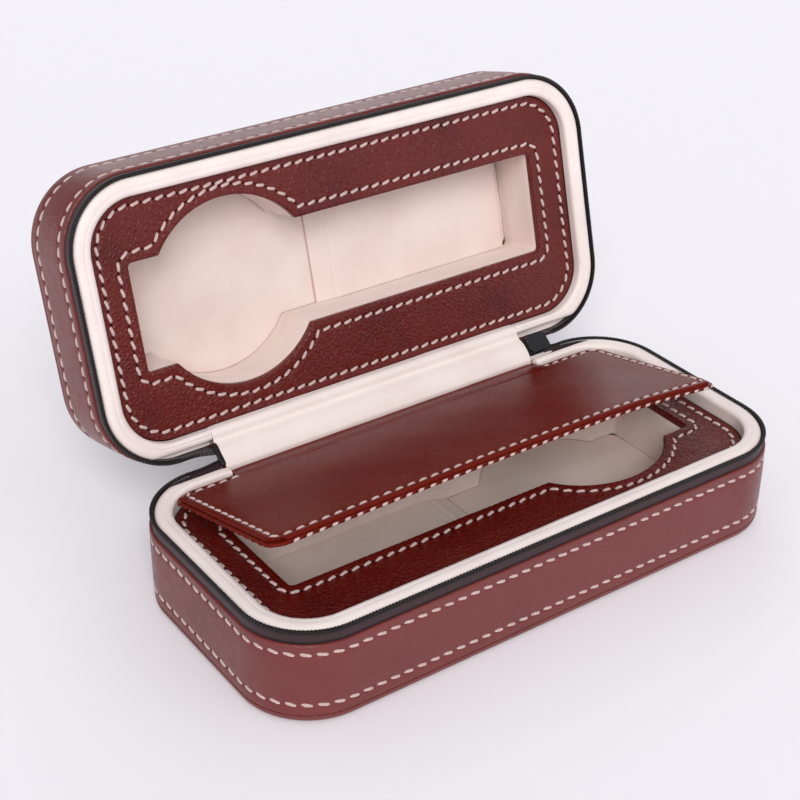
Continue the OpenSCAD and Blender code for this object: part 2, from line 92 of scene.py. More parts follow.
# ---------------- sizes of the finish
OUTER_STITCH = dict(pitch=4.8, length=4.25, thick=0.54, slant=0.38)
INSERT_STITCH = dict(pitch=4.25, length=3.55, thick=0.55, slant=0.45)
FLAP_STITCH = dict(pitch=4.3, length=3.6, thick=0.5, slant=0.3)
EDGE_STITCH = dict(pitch=4.3, length=3.0, thick=0.42, slant=0.1)
# sizes of the dark sunk pieces that paint the shade in the needle holes
NEEDLE_HOLE_SHADE = dict(length=1.0, thick=0.36, slant=0, lift=-0.16, dive=0.2)
SIDE_SEAT, INSERT_SEAT = 0.62, 0.3  # stitches outside the zip line, below the insert's face
TOP_ROW, BOTTOM_ROW = 3.4, 6.9  # side stitches below the leather's edge, above the panel
OUTER_ROW, WELL_ROW, FLAP_ROW = 3.0, 3.5, 2.3  # rows inside an edge
VALLEY, PUCKER = (0.26, 0.7), (0.34, 0.85)  # depth and width along a row, at a stitch
SEWN_GROOVE, FLAP_GROOVE = (0.32, 0.5), (0.25, 0.45)
FLAP_ANGLE, FLAP_TWIST = 15.5, 0.4  # angle at the ends, and how far each departs from it
FLAP_ARCH, FLAP_DROOP = 0.8, 2.2  # how much higher the middle and lower the right corner
DROOP_FROM, REACH_FROM = 0.4, -0.2  # shares of the half length where these begin
FLAP_REACH = 1.4  # how far the left end reaches out over the lip
LINING_BEND, LEATHER_BEND = 3.0, 1.9  # half widths about the fold line, given to bend_with_lid; nothing bends with them

# ---------------- light and camera
FLOOR, BACKDROP = (250, 248, 253), (240, 238, 243)
SKY, DARK_SKY, SKY_STRENGTH = (247, 249, 255), (84, 80, 84), 0.53
DARK_SIDE = (("Y", 0.2, 0.7), ("Z", 0.42, 0.2), ("X", 0.72, 0.54))  # lit and dark from here
CAMERA_PLACE = (-281.017, -358.197, 325.539)
CAMERA_TURN = (59.4299, -0.28201, -35.09817)  # degrees about X, Y and Z
FOCAL_LENGTH, SENSOR_W = 75.0926, 36.0


# ---------------- places
def turned(p, degrees):
    """Points of the shut case, turned open about the fold line."""
    a = math.radians(degrees)
    dy, dz = p[..., 1] - FOLD_Y, p[..., 2] - FOLD_Z
    return np.stack([p[..., 0],
                     FOLD_Y + dy*math.cos(a) + dz*math.sin(a),
                     FOLD_Z - dy*math.sin(a) + dz*math.cos(a)], -1)


def in_base(p):
    return p + [0, 0, BASE_H]


def in_lid(p):
    return turned(p*[1, 1, -1] + [0, 0, BASE_H], LID_OPEN)


def on_bridge(p):
    """Points measured from the fold line, with Y to the outside and Z across the zip."""
    return turned(p + [0, FOLD_Y, FOLD_Z], LID_OPEN/2)


def in_flap(p):
    """Points of the flat flap, which bows up in its middle and droops at its right end."""
    u = p[..., 0]/(FLAP_W/2)
    a = np.radians(FLAP_ANGLE - FLAP_TWIST*u + FLAP_ARCH*(1 - u*u)
                   - FLAP_DROOP*np.clip((u - DROOP_FROM)/(1 - DROOP_FROM), 0, 1)**2)
    reach = FLAP_REACH*np.clip((u - REACH_FROM)/(1 + REACH_FROM), -1, 0)
    return np.stack([p[..., 0] + reach,
                     FLAP_FOLD_Y + p[..., 1]*np.cos(a) + p[..., 2]*np.sin(a),
                     FLAP_FOLD_Z - p[..., 1]*np.sin(a) + p[..., 2]*np.cos(a)], -1)


def as_is(p):
    return p


def section(place, *pairs):
    """Points (y, z) of a section across X, placed in the frame."""
    return place(np.array([[0, y, z] for y, z in pairs], float))


# ---------------- outlines
def ring_segments():
    """The zip line clockwise from the middle of the back, as (length, start, centre, angle)."""
    a, b = CASE_L/2 - CORNER, CASE_W/2 - CORNER
    bend = CORNER*math.pi/2
    return [(a, (0, CASE_W/2), None, 90), (bend, None, (a, b), 90),
            (2*b, (CASE_L/2, b), None, 0), (bend, None, (a, -b), 0),
            (2*a, (a, -CASE_W/2), None, -90), (bend, None, (-a, -b), -90),
            (2*b, (-CASE_L/2, -b), None, 180), (bend, None, (-a, b), 180),
            (a, (-a, CASE_W/2), None, 90)]


SEGMENTS = ring_segments()
RING_L = sum(s[0] for s in SEGMENTS)
CORNER_X = CASE_L/2 - CORNER  # where the corners of the back begin


def ring_at(s):
    """Point and outward normal on the zip line at each arc length."""
    s = np.mod(np.asarray(s, float), RING_L)
    point, normal = np.zeros((len(s), 2)), np.zeros((len(s), 2))
    done = 0.0
    for length, start, centre, angle in SEGMENTS:
        here = (s >= done - 1e-9) & (s <= done + length + 1e-9)
        t = s[here] - done
        if centre is None:
            n = np.array([math.cos(math.radians(angle)), math.sin(math.radians(angle))])
            along = np.array([n[1], -n[0]])
            point[here], normal[here] = t[:, None]*along + start, n
        else:
            th = np.radians(angle) - t/CORNER
            n = np.stack([np.cos(th), np.sin(th)], -1)
            point[here], normal[here] = CORNER*n + centre, n
        done += length
    return point, normal


def ring(step, start=0.0, end=None):
    """Arc lengths from start to end, or once round without the last point."""
    if end is None:
        return np.linspace(0, RING_L, int(RING_L/step), endpoint=False)
    return np.linspace(start, end, max(2, int((end - start)/step) + 1))


def arc(cx, cy, r, a0, a1, n, endpoint=False):
    th = np.radians(np.linspace(a0, a1, n, endpoint))
    return np.stack([cx + r*np.cos(th), cy + r*np.sin(th)], -1)


def line(x0, y0, x1, y1, n):
    t = np.linspace(0, 1, n, endpoint=False)[:, None]
    return t*[x1 - x0, y1 - y0] + [x0, y0]


def keyhole(w, turn, inner_r=SLOT_R):
    """The keyhole opening grown by w, with the same number of points for every w."""
    hh, big = STRAP_HALF + w, HEAD_R + w
    left, right = -LONG_END - w, SHORT_END + w
    r = inner_r + w
    dx = math.sqrt(big*big - hh*hh)
    al = math.degrees(math.asin(hh/big))
    loop = np.concatenate([
        line(left + r, -hh, HEAD_X - dx, -hh, 40), arc(HEAD_X, 0, big, 180 + al, 360 - al, 36),
        line(HEAD_X + dx, -hh, right - r, -hh, 5), arc(right - r, r - hh, r, -90, 0, 6),
        line(right, r - hh, right, hh - r, 14), arc(right - r, hh - r, r, 0, 90, 6),
        line(right - r, hh, HEAD_X + dx, hh, 5), arc(HEAD_X, 0, big, al, 180 - al, 36),
        line(HEAD_X - dx, hh, left + r, hh, 40), arc(left + r, hh - r, r, 90, 180, 6),
        line(left, hh - r, left, r - hh, 14), arc(left + r, r - hh, r, 180, 270, 6)])
    return turn*(loop + [0, WELL_OFF])


def box_distance(p, x0, x1, y0, y1, r):
    """Signed distance to a rectangle with round corners, negative inside."""
    q = np.abs(p - [(x0 + x1)/2, (y0 + y1)/2]) - [(x1 - x0)/2 - r, (y1 - y0)/2 - r]
    return np.linalg.norm(np.maximum(q, 0), axis=-1) + np.minimum(q.max(-1), 0) - r


def keyhole_distance(p, turn):
    """Signed distance to the keyhole opening, negative inside."""
    q = turn*p - [0, WELL_OFF]
    slot_d = box_distance(q, -LONG_END, SHORT_END, -STRAP_HALF, STRAP_HALF, SLOT_R)
    return np.minimum(slot_d, np.linalg.norm(q - [HEAD_X, 0], axis=-1) - HEAD_R)


def swell(x, y, size):
    """A slow unevenness that repeats the same way on every run."""
    return size*(np.sin(x*0.093 + 1.3)*np.cos(y*0.121 + 0.4)
                 + 0.6*np.sin(x*0.21 + y*0.17 + 2.1) + 0.4*np.cos(x*0.33 - y*0.29))


def groove(d, depth, width):
    """A soft valley where the distance d is 0."""
    return -depth*np.exp(-(d/width)**2)


def rounded(d, r):
    """Drop of an edge of radius r at the distance d inside it."""
    t = np.clip(1 - np.asarray(d, float)/r, 0, 1)
    return -r*(1 - np.sqrt(np.maximum(1 - t*t, 0)))


def run_along(path):
    """Length along a path at each of its points."""
    return np.r_[0, np.cumsum(np.linalg.norm(np.diff(path, axis=0), axis=1))]


def read_off(rows, s, at):
    """Rows that stand at the places s, read off at others."""
    return np.stack([np.interp(at, s, rows[:, i]) for i in range(3)], -1)


def raised(flat, z):
    """Flat points at the height z, which may be one height or one for each."""
    return np.c_[flat, np.broadcast_to(z, len(flat))]


def unit(v):
    return v/np.maximum(np.linalg.norm(v, axis=-1, keepdims=True), 1e-9)


def smooth_curve(points, n):
    """A Catmull-Rom curve through a few points, n spans between each two."""
    p = np.asarray(points, float)
    p = np.vstack([2*p[0] - p[1], p, 2*p[-1] - p[-2]])
    out = []
    for i in range(1, len(p) - 2):
        t = np.linspace(0, 1, n, endpoint=False)[:, None]
        a, b, c, d = p[i - 1], p[i], p[i + 1], p[i + 2]
        out.append(0.5*(2*b + (c - a)*t + (2*a - 5*b + 4*c - d)*t**2
                        + (3*b - a - 3*c + d)*t**3))
    return np.vstack(out + [p[-2:-1]])


# ---------------- meshes
def new_object(name, data):
    ob = bpy.data.objects.new(name, data)
    bpy.context.scene.collection.objects.link(ob)
    return ob


def build(name, points, faces, place=as_is, uv=None, sharp=38):
    """A smooth shaded closed mesh whose normals point outwards."""
    me = bpy.data.meshes.new(name)
    me.from_pydata((place(np.asarray(points, float))*MM).tolist(), [], faces)
    if uv is not None:
        layer = me.uv_layers.new(name="UVMap")
        corner = np.zeros(len(me.loops), int)
        me.loops.foreach_get("vertex_index", corner)
        layer.data.foreach_set("uv", uv.reshape(-1, 2)[corner].ravel())
    bm = bmesh.new()
    bm.from_mesh(me)
    bmesh.ops.recalc_face_normals(bm, faces=bm.faces)
    bm.to_mesh(me)
    bm.free()
    me.shade_smooth()
    me.set_sharp_from_angle(angle=math.radians(sharp))
    return new_object(name, me)


def grid_faces(n, k, wrap_n, wrap_k):
    """Faces between n rows of k points, which may close on themselves either way."""
    i = np.arange(n if wrap_n else n - 1)[:, None]
    j = np.arange(k if wrap_k else k - 1)[None, :]
    a, b = i*k + j, i*k + (j + 1) % k
    c, d = ((i + 1) % n)*k + (j + 1) % k, ((i + 1) % n)*k + j
    return np.stack([a, b, c, d], -1).reshape(-1, 4).tolist()


def rod(rows):
    """Points and faces of a rod of closed rows (n, k, 3), with its two ends."""
    n, k = rows.shape[:2]
    ends = [list(range(k)), list(range((n - 1)*k, n*k))]
    return rows.reshape(-1, 3), grid_faces(n, k, False, True) + ends


def swept(name, points, place=as_is, wrap=False, uv=None, sharp=38, profile_closed=True):
    """Skin over rows of profile points (n, k, 3), closed at its ends."""
    n, k = points.shape[:2]
    flat, faces = rod(points)
    if wrap:
        faces = grid_faces(n, k, True, profile_closed)
    if not profile_closed:
        faces += [list(range(0, n*k, k)), list(range(k - 1, n*k, k))]
    return build(name, flat, faces, place, uv, sharp)


def on_ring(s, profile):
    """Points of a profile (offset, height) at each arc length; it may change along the way."""
    point, normal = ring_at(s)
    profile = np.broadcast_to(profile, (len(s),) + np.shape(profile)[-2:])
    flat = point[:, None, :] + normal[:, None, :]*profile[..., :1]
    return np.concatenate([flat, profile[..., 1:]], -1)


def merge(*groups):
    """Several (points, faces) in one."""
    points, faces, first = [], [], 0
    for p, f in groups:
        points.append(p)
        faces += [[v + first for v in face] for face in f]
        first += len(points[-1])
    return np.concatenate(points), faces


def tube(path, side, ra, rb=None, sides=8):
    """A round or oval tube along a path; side points the way that ra is measured."""
    rb = ra if rb is None else rb
    along = unit(np.gradient(path, axis=0))
    side = unit(side - (side*along).sum(-1, keepdims=True)*along)
    other = np.cross(along, side)
    th = np.linspace(0, 2*math.pi, sides, endpoint=False)
    ra, rb = np.broadcast_to(ra, len(path)), np.broadcast_to(rb, len(path))
    rows = (path[:, None] + side[:, None]*(ra[:, None]*np.cos(th))[..., None]
            + other[:, None]*(rb[:, None]*np.sin(th))[..., None])
    return rod(rows)


def threads(path, normals, closed, pitch, length, thick, slant, lift=0.14, dive=0.7,
            offset=0.5):
    """A row of stitches: short slanted threads whose ends dive into the leather."""
    if closed:
        path, normals = np.vstack([path, path[:1]]), np.vstack([normals, normals[:1]])
    s = run_along(path)
    count = max(1, round(s[-1]/pitch))
    at = (np.arange(count) + offset)*s[-1]/count
    reach = 0.4
    p, up = read_off(path, s, at), unit(read_off(normals, s, at))
    along = unit(read_off(path, s, np.minimum(at + reach, s[-1]))
                 - read_off(path, s, np.maximum(at - reach, 0)))
    across = np.cross(up, along)
    t = np.linspace(-1, 1, 7)
    th = np.linspace(0, 2*math.pi, 6, endpoint=False)
    r = thick*np.sqrt(np.maximum(1 - 0.75*t**4, 0.08))
    centre = (p[:, None] + along[:, None]*(t*length/2)[:, None]
              + across[:, None]*(slant*t)[:, None]
              + up[:, None]*(lift - dive*t**4)[:, None])
    rows = (centre[:, :, None] + across[:, None, None]*(r[:, None]*np.cos(th))[..., None]
            + up[:, None, None]*(0.8*r[:, None]*np.sin(th))[..., None])
    return merge(*[rod(row) for row in rows])


def panel(name, loops, holes, inside, height, low, place, spacing=3.0, margin=4.6):
    """A closed sheet: its first loop is the outer edge and the first of holes the opening.

    A grid of points fills its middle, from a margin inside the edges.
    """
    points = np.concatenate(list(loops) + list(holes))
    keep = np.ones(len(points), bool)
    firm = len(loops[0])
    keep[firm:] = inside(points[firm:]) > 0.25
    edges = [(i, (i + 1) % firm) for i in range(firm)]
    if holes:
        start, n = sum(len(r) for r in loops), len(holes[0])
        keep[start:start + n] = True
        index = np.cumsum(keep) - 1
        edges += [(index[start + i], index[start + (i + 1) % n]) for i in range(n)]
    lo, hi = loops[0].min(0), loops[0].max(0)
    gx, gy = np.meshgrid(np.arange(lo[0], hi[0], spacing), np.arange(lo[1], hi[1], spacing))
    fill = np.stack([gx.ravel(), gy.ravel()], -1)
    fill = fill[inside(fill) > margin]
    flat = np.concatenate([points[keep], fill])
    out = delaunay_2d_cdt([Vector(p) for p in flat.tolist()],
                          [(int(a), int(b)) for a, b in edges], [], 0, 1e-3)
    flat = np.array(out[0])
    tris = np.array([f for f in out[2] if len(f) == 3])
    tris = tris[inside(flat[tris].mean(1)) > 0]
    used = {}
    for a, b, c in tris.tolist():
        for e in ((a, b), (b, c), (c, a)):
            used.setdefault((min(e), max(e)), []).append(e)
    rim = [e[0] for e in used.values() if len(e) == 1]
    n = len(flat)
    faces = tris.tolist() + [[c + n, b + n, a + n] for a, b, c in tris.tolist()]
    faces += [[b, a, a + n, b + n] for a, b in rim]
    skins = np.concatenate([raised(flat, height(flat)), raised(flat, low)])
    return build(name, skins, faces, place, sharp=50)


def piece(ob, material, body=None, replaces=()):
    """Gives a piece its finish, body and the CAD nodes that it stands for."""
    ob.data.materials.append(material)
    if body:
        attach(ob, body)
    if replaces:
        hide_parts(*replaces)
    return ob


def sew(name, path, normals, place, stitch, body, closed=True, flip=1):
    """A row of stitches, and dark sunk pieces between them: painted shade of the needle holes."""
    stitch = dict(stitch, slant=flip*stitch["slant"])
    hole_shade = dict(NEEDLE_HOLE_SHADE, pitch=stitch["pitch"], offset=0.0)
    for tag, material, sizes in (("", THREAD, stitch), ("_holes", HOLE_SHADE, hole_shade)):
        ob = build(name + tag, *threads(path, normals, closed, **sizes), place)
        piece(ob, material, body)


# ---------------- materials
def srgb(colour):
    """A colour given as it should look, 0 to 255."""
    return tuple(((c/255 + 0.055)/1.055)**2.4 if c > 10 else c/3294.6 for c in colour) + (1.0,)


class Tree:
    """Short hand for a node tree."""

    def __init__(self, tree):
        self.nodes, self.link = tree.nodes, tree.links.new

    def add(self, kind, inputs, **options):
        """A shader node with its options set, and its inputs set or linked."""
        node = self.nodes.new("ShaderNode" + kind)
        for key, value in options.items():
            setattr(node, key, value)
        for key, value in inputs.items():
            if isinstance(value, bpy.types.NodeSocket):
                self.link(value, node.inputs[key])
            else:
                node.inputs[key].default_value = value
        return node


class Nodes(Tree):
    """Short hand for one material's node tree."""

    def __init__(self, name, **constants):
        self.mat = bpy.data.materials.new(name)
        self.mat.use_nodes = True
        super().__init__(self.mat.node_tree)
        self.shader = self.nodes["Principled BSDF"]
        for key, value in constants.items():
            self.shader.inputs[key.replace("_", " ")].default_value = value
        coords = self.add("TexCoord", {})
        self.mm = self.scaled(coords.outputs["Object"], 1/MM)
        self.uv = coords.outputs["UV"]

    def scaled(self, vector, *scale):
        scale = scale*3 if len(scale) == 1 else scale
        return self.add("Mapping", {"Vector": vector, "Scale": scale}).outputs["Vector"]

    def warped(self, vector, scale, size):
        """The place moved about by a noise, so that cells on it lose their regular form."""
        wobble = self.add("TexNoise", {"Vector": vector, "Scale": scale}).outputs["Color"]
        return self.add("VectorMath", {0: wobble, 1: (size, size, size), 2: vector},
                        operation="MULTIPLY_ADD").outputs[0]

    def noise(self, vector, scale, detail, rough=0.55):
        return self.add("TexNoise", {"Vector": vector, "Scale": scale, "Detail": detail,
                                     "Roughness": rough}).outputs["Fac"]

    def cells(self, vector, scale):
        return self.add("TexVoronoi", {"Vector": vector, "Scale": scale},
                        feature="DISTANCE_TO_EDGE").outputs["Distance"]

    def wave(self, vector, scale, direction, distortion=0.0):
        return self.add("TexWave", {"Vector": vector, "Scale": scale, "Distortion": distortion},
                        bands_direction=direction).outputs["Fac"]

    def ramp(self, value, *stops):
        node = self.add("ValToRGB", {"Fac": value})
        places = node.color_ramp.elements
        places.remove(places[1])
        for i, (at, colour) in enumerate(stops):
            stop = places.new(at) if i else places[0]
            stop.position, stop.color = at, srgb(colour)
        return node.outputs["Color"]

    def span(self, value, low, high, start=0.0, end=1.0):
        """The value from start to end, spread from low to high."""
        return self.add("MapRange", {"Value": value, "From Min": start, "From Max": end,
                                     "To Min": low, "To Max": high}).outputs["Result"]

    def join(self, a, b, op, factor):
        """Both values in one, the second of them first multiplied by the factor."""
        share = self.add("Math", {0: b, 1: factor}, operation="MULTIPLY").outputs[0]
        return self.add("Math", {0: a, 1: share}, operation=op).outputs[0]

    def tint(self, base, factor, colour):
        return self.add("Mix", {0: factor, 6: base, 7: srgb(colour)},
                        data_type="RGBA").outputs[2]

    def finish(self, colour, rough, height, depth, strength):
        """The material with its colour, roughness and relief, whose depth is in millimetres."""
        bump = self.add("Bump", {"Height": height, "Distance": depth*MM, "Strength": strength})
        for key, value in (("Base Color", colour), ("Roughness", rough),
                           ("Normal", bump.outputs["Normal"])):
            self.link(value, self.shader.inputs[key])
        return self.mat


def leather(name, dark, mid, light, rough=(0.3, 0.42), grain=0.62, depth=0.2, shine=0.42):
    """Pebbled leather with a slow change of tone, and painted shade that darkens the valleys
    between its pebbles.
    """
    n = Nodes(name, Coat_Weight=0.05, Coat_Roughness=0.25, Specular_IOR_Level=shine)
    pebble = n.span(n.cells(n.warped(n.mm, 0.5, 1.6), grain), 0.0, 1.0, 0.0, 0.32)
    fine = n.noise(n.mm, 4.5, 3)
    shade = n.join(n.noise(n.mm, 0.045, 4), fine, "ADD", 0.1)
    shade = n.ramp(shade, (0.3, dark), (0.5, mid), (0.85, light))
    worn = n.join(n.noise(n.mm, 0.3, 3), pebble, "SUBTRACT", 0.15)
    # the valleys between the pebbles are tinted towards dark: painted shade in the grain
    return n.finish(n.tint(shade, n.span(pebble, 0.24, 0.0), dark),
                    n.span(worn, *rough, 0.2, 0.7),
                    n.join(pebble, fine, "ADD", 0.35), depth, strength=0.7)


def velvet(name, dark, light):
    """Short pile, brushed in patches."""
    n = Nodes(name, Sheen_Weight=0.35, Sheen_Roughness=0.45, Specular_IOR_Level=0.12,
              Sheen_Tint=srgb((255, 246, 240)))
    brushed = n.noise(n.scaled(n.mm, 0.06, 0.11, 0.05), 1.0, 4)
    pile = n.noise(n.mm, 5.0, 2, 0.7)
    return n.finish(n.ramp(n.join(brushed, pile, "ADD", 0.22), (0.38, dark), (0.74, light)),
                    n.span(pile, 0.85, 1.0), pile, depth=0.16, strength=0.6)


OUTER = leather("outer_leather", (105, 40, 37), (113, 46, 43), (119, 52, 48),
                grain=0.8, depth=0.12)
INSERT = leather("insert_leather", (78, 12, 7), (98, 20, 12), (108, 31, 22),
                 rough=(0.24, 0.34), depth=0.3, shine=0.36)
FLAP = leather("flap_leather", (96, 17, 7), (105, 23, 11), (111, 30, 17),
               rough=(0.24, 0.3), grain=0.9, depth=0.03, shine=0.06)
# near-black leather for the pieces between stitches: painted shade in the needle holes
HOLE_SHADE = leather("needle_hole_shade", (14, 3, 3), (30, 7, 6), (40, 10, 8), rough=(0.6, 0.8), shine=0.1)

# smooth lip leather with faint creases
n = Nodes("ivory_leather", Coat_Weight=0.1, Coat_Roughness=0.4)
crease = n.span(n.cells(n.scaled(n.mm, 0.7), 1.3), 0, 1, 0, 0.2)
IVORY = n.finish(n.ramp(n.noise(n.mm, 0.06, 4), (0.3, (236, 221, 217)), (0.6, (243, 231, 227))),
                 n.span(n.noise(n.mm, 0.8, 3), 0.42, 0.58),
                 n.join(n.noise(n.mm, 1.2, 4), crease, "ADD", 0.3), depth=0.06, strength=0.5)

VELVET = velvet("velvet", (227, 208, 200), (235, 219, 212))
CARD = velvet("velvet_card", (226, 206, 198), (234, 218, 210))
# darker velvet for the strip at the cushion's foot: painted shade
FOOT_SHADE = velvet("velvet_foot_shade", (186, 152, 144), (202, 172, 164))

# woven tape with painted shade along both edges, under the lip above and under the leather's edge
# below; V of its UV map runs across it
n = Nodes("zip_tape", Sheen_Weight=0.15, Specular_IOR_Level=0.3)
weave = n.join(n.wave(n.uv, 0.5, "X"), n.wave(n.uv, 0.62, "Y"), "MULTIPLY", 1.0)
across = n.span(n.add("SeparateXYZ", {0: n.uv}).outputs["Y"], 0.0, 1.0, -5.2, -1.2)
# the dark ends of this ramp are painted shade at the tape's two edges
shade = n.ramp(across, (0.12, (16, 9, 10)), (0.3, (70, 46, 52)), (0.8, (60, 40, 45)),
               (0.95, (20, 12, 14)))
TAPE = n.finish(n.tint(shade, n.span(weave, 0.4, 0.0), (20, 12, 14)),
                n.span(weave, 0.75, 0.9), weave, depth=0.12, strength=0.6)

# dark nylon of the zip's windings
n = Nodes("zip_coil", Specular_IOR_Level=0.3)
COIL = n.finish(n.ramp(n.noise(n.mm, 2.0, 2), (0.3, (14, 8, 9)), (0.7, (32, 22, 24))),
                n.span(n.noise(n.mm, 1.0, 2), 0.3, 0.45),
                n.noise(n.mm, 6.0, 2), depth=0.02, strength=0.4)

# painted metal of the slider and its pull
n = Nodes("zip_metal", Metallic=0.4, Coat_Weight=0.5, Coat_Roughness=0.15)
METAL = n.finish(n.ramp(n.noise(n.mm, 0.9, 4), (0.4, (16, 14, 17)), (0.8, (38, 36, 42))),
                 n.span(n.noise(n.mm, 1.5, 4), 0.22, 0.42),
                 n.join(n.noise(n.mm, 3.0, 3), n.cells(n.mm, 0.8), "ADD", 0.2),
                 depth=0.02, strength=0.3)

# twisted thread
n = Nodes("thread", Sheen_Weight=0.2, Specular_IOR_Level=0.25)
twist = n.wave(n.mm, 1.1, "DIAGONAL", 0.6)
shade = n.join(twist, n.noise(n.mm, 0.4, 2), "ADD", 0.5)
THREAD = n.finish(n.ramp(shade, (0.35, (170, 134, 130)), (0.95, (228, 208, 203))),
                  n.span(twist, 0.6, 0.8), twist, depth=0.1, strength=0.6)

# fibrous board
n = Nodes("board", Specular_IOR_Level=0.2)
fibre = n.noise(n.scaled(n.mm, 0.4, 2.0, 0.4), 1.0, 4)
BOARD = n.finish(n.ramp(fibre, (0.35, (150, 140, 126)), (0.7, (176, 166, 152))),
                 n.span(fibre, 0.8, 0.95), fibre, depth=0.08, strength=0.5)


# ---------------- one half of the case
class Half:
    """The base or the lid, with its own depth, insert depth and way round."""

    def __init__(self, name, place, height, drop, turn, outer_node):
        self.name, self.place, self.h, self.drop, self.turn = name, place, height, drop, turn
        self.outer_node = outer_node
        self.panel_low = -drop - PANEL_T
        self.floor = -drop - STRAP_DEPTH - HEAD_STEP

    def add(self, ob, material, slot, *nodes):
        return piece(ob, material, self.name, [f"{self.name}_{node}" for node in nodes])


def side_band(half):
    """Side leather with its turned top edge, pulled in a little by each stitch."""
    count = round(RING_L/OUTER_STITCH["pitch"])
    s = ring(RING_L/(7*count))
    top, seam = -ZIP_BAND, SEAM_H - half.h
    row_1, row_2 = top - TOP_ROW, BOTTOM_ROW - half.h
    dense = np.linspace(0.8, -0.8, 7)
    z = np.r_[np.linspace(top - 0.45, row_1 + 1.2, 5), row_1 + dense,
              np.linspace(row_1 - 1.3, row_2 + 1.3, 9), row_2 + dense,
              np.linspace(row_2 - 1.2, seam + 0.45, 4)]
    pull = 0.5 + 0.5*np.cos(2*math.pi*s*count/RING_L)[:, None]
    bulge = 0.15*np.sin(np.clip((z - row_2)/(row_1 - row_2), 0, 1)*math.pi)
    face = (LEATHER_OUT + groove(z - row_1, *VALLEY) + groove(z - row_2, *VALLEY) + bulge
            + groove(z - row_1, *PUCKER)*pull**2 + groove(z - row_2, *PUCKER)*pull**2
            + swell(s[:, None], z*3, 0.03))
    outer = np.stack([face, np.broadcast_to(z, face.shape)], -1)
    head = [(0.05, top), (0.3, top + 0.04), (0.6, top), (0.86, top - 0.14)]
    foot = [(0.85, seam + 0.12), (0.5, seam + 0.03), (0.05, seam + 0.02)]
    head, foot = (np.broadcast_to(part, (len(s), len(part), 2)) for part in (head, foot))
    profile = np.concatenate([head, outer, foot], 1)
    ob = swept(half.name + "_side_leather_skin", on_ring(s, profile), half.place, wrap=True)
    half.add(ob, OUTER, "outer_leather", "side_leather")
    point, normal = ring_at(ring(1.0))
    for tag, row_z in (("top", row_1), ("foot", row_2)):
        sew(f"{half.name}_{tag}_stitches", raised(point + normal*SIDE_SEAT, row_z),
            raised(normal, 0.0), half.place, OUTER_STITCH, half.name,
            flip=-half.turn)


def outer_panel(half):
    """The flat outer face, rolled up at its edge to meet the side leather."""
    flat_to, corner, centre_z = -9, LEATHER_OUT - EDGE_R, EDGE_R - half.h
    roll = arc(corner, centre_z, EDGE_R, -90, 0, 9, True)
    face = np.stack([np.linspace(flat_to, corner - 0.6, 5), np.full(5, -half.h)], -1)
    lip = [(x, SEAM_H - z - half.h) for x, z in ((1.0, 0.2), (0.82, 0.06), (0.05, 0.02))]
    back = arc(corner, centre_z, EDGE_R - LEATHER_T, 0, -90, 5, True)
    end = [(flat_to, LEATHER_T - half.h)]
    points = on_ring(ring(1.6), np.concatenate([face, roll, lip, back, end]))
    ob = swept(half.name + "_outer_panel", points, half.place, wrap=True, profile_closed=False)
    half.add(ob, OUTER, "outer_leather", half.outer_node)


def zip_side(half):
    """Woven tape and wound coil round the three free sides."""
    start, end = CORNER_X, RING_L - CORNER_X
    s = ring(1.2, start, end)
    tape = np.array([(0.0, -6.6), (0.05, -4.2), (0.1, -2.8), (0.02, -1.7),
                     (-0.78, -1.7), (-0.72, -3.0), (-0.78, -6.6)])
    uv = np.stack(np.broadcast_arrays(s[:, None], tape[:, 1][None, :]), -1)
    ob = swept(half.name + "_zip_tape_cloth", on_ring(s, tape), half.place, uv=uv)
    half.add(ob, TAPE, "zip_tape", "zip_tape")

    def route(t):
        point, normal = ring_at(start + t*(end - start))
        return raised(point, COIL_Z), raised(normal, 0.0), np.tile(UP, (len(t), 1))

    ob = build(half.name + "_zip_coil_wound", *coil(route, end - start), half.place)
    half.add(ob, COIL, "zip_coil", "zip_coil")


def coil(route, length, pitch=1.15, wire=0.3, half_u=0.42, half_z=0.46, core=0.55):
    """A wound coil round its cord; route gives centre, outward and upward way at 0 to 1."""
    turns = int(length/pitch)
    t = np.linspace(0, 1, turns*9 + 1)
    centre, out, up = route(t)
    th = 2*math.pi*turns*t[:, None]
    spin = out*half_u*np.cos(th) + up*half_z*np.sin(th)
    cord, cord_out, _ = route(np.linspace(0, 1, max(8, int(length/1.5))))
    return merge(tube(centre + spin, spin, wire, sides=5), tube(cord, cord_out, core))


def lip_room(s, limit):
    """Outer offset of the lip, which makes room for one of the zip's ends at the back."""
    point, normal = ring_at(s)
    out = np.full(len(s), LIP_OUT)
    reach = np.maximum(normal[:, 1], 1e-6)
    back = normal[:, 1] > 0.5
    out[back] = np.minimum(LIP_OUT, ((limit - point[:, 1])/reach)[back])
    return out


